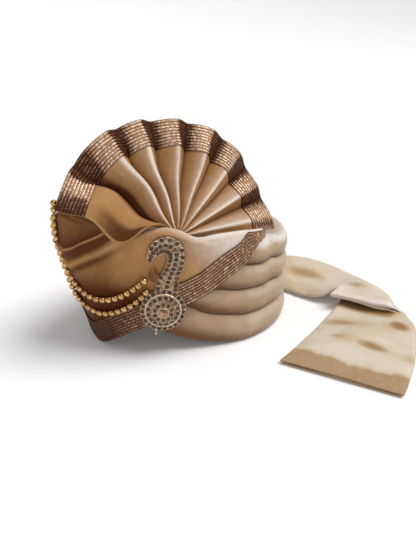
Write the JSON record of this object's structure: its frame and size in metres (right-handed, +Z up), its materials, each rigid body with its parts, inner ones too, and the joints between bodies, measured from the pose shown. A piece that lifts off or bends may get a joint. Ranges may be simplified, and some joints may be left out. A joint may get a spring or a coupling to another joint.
{
  "type": "tied turban",
  "caption": "Ready-tied ceremonial turban of padded velvet rolls with a pleated lace-edged fan, a stone brooch, draped gold beads and a long tail that lies beside it.",
  "frame": {"origin": "middle of the head opening, on the table that the turban rests on", "axes": "+Z up, the wearer faces -Y and the wearer's left is +X"},
  "size_m": [0.3994, 0.4144, 0.2407],
  "materials": {
    "velvet": "crushed velvet, golden brown",
    "velvet_pale": "crushed velvet, champagne",
    "lace": "metallic thread, copper brown",
    "bead_gold": "polished gold plate",
    "brooch_gold": "antique gold plate",
    "stone": "faceted, clear gloss",
    "amber": "polished, clear gloss"
  },
  "bodies": {
    "root": {"crown_cap": "velvet_pale", "roll_1": "velvet_pale", "roll_2": "velvet_pale", "roll_3": "velvet_pale", "roll_4": "velvet_pale", "top_cover": "velvet", "front_panel": "velvet", "panel_lace": "lace", "fan": "velvet", "fan_lace": "lace", "brooch": "brooch_gold", "centre_stone": "stone", "amber_drop": "amber", "brooch_pendant": "brooch_gold", "bead_strand_1": "bead_gold", "bead_strand_2": "bead_gold", "tail": "velvet_pale"}
  },
  "joints": []
}
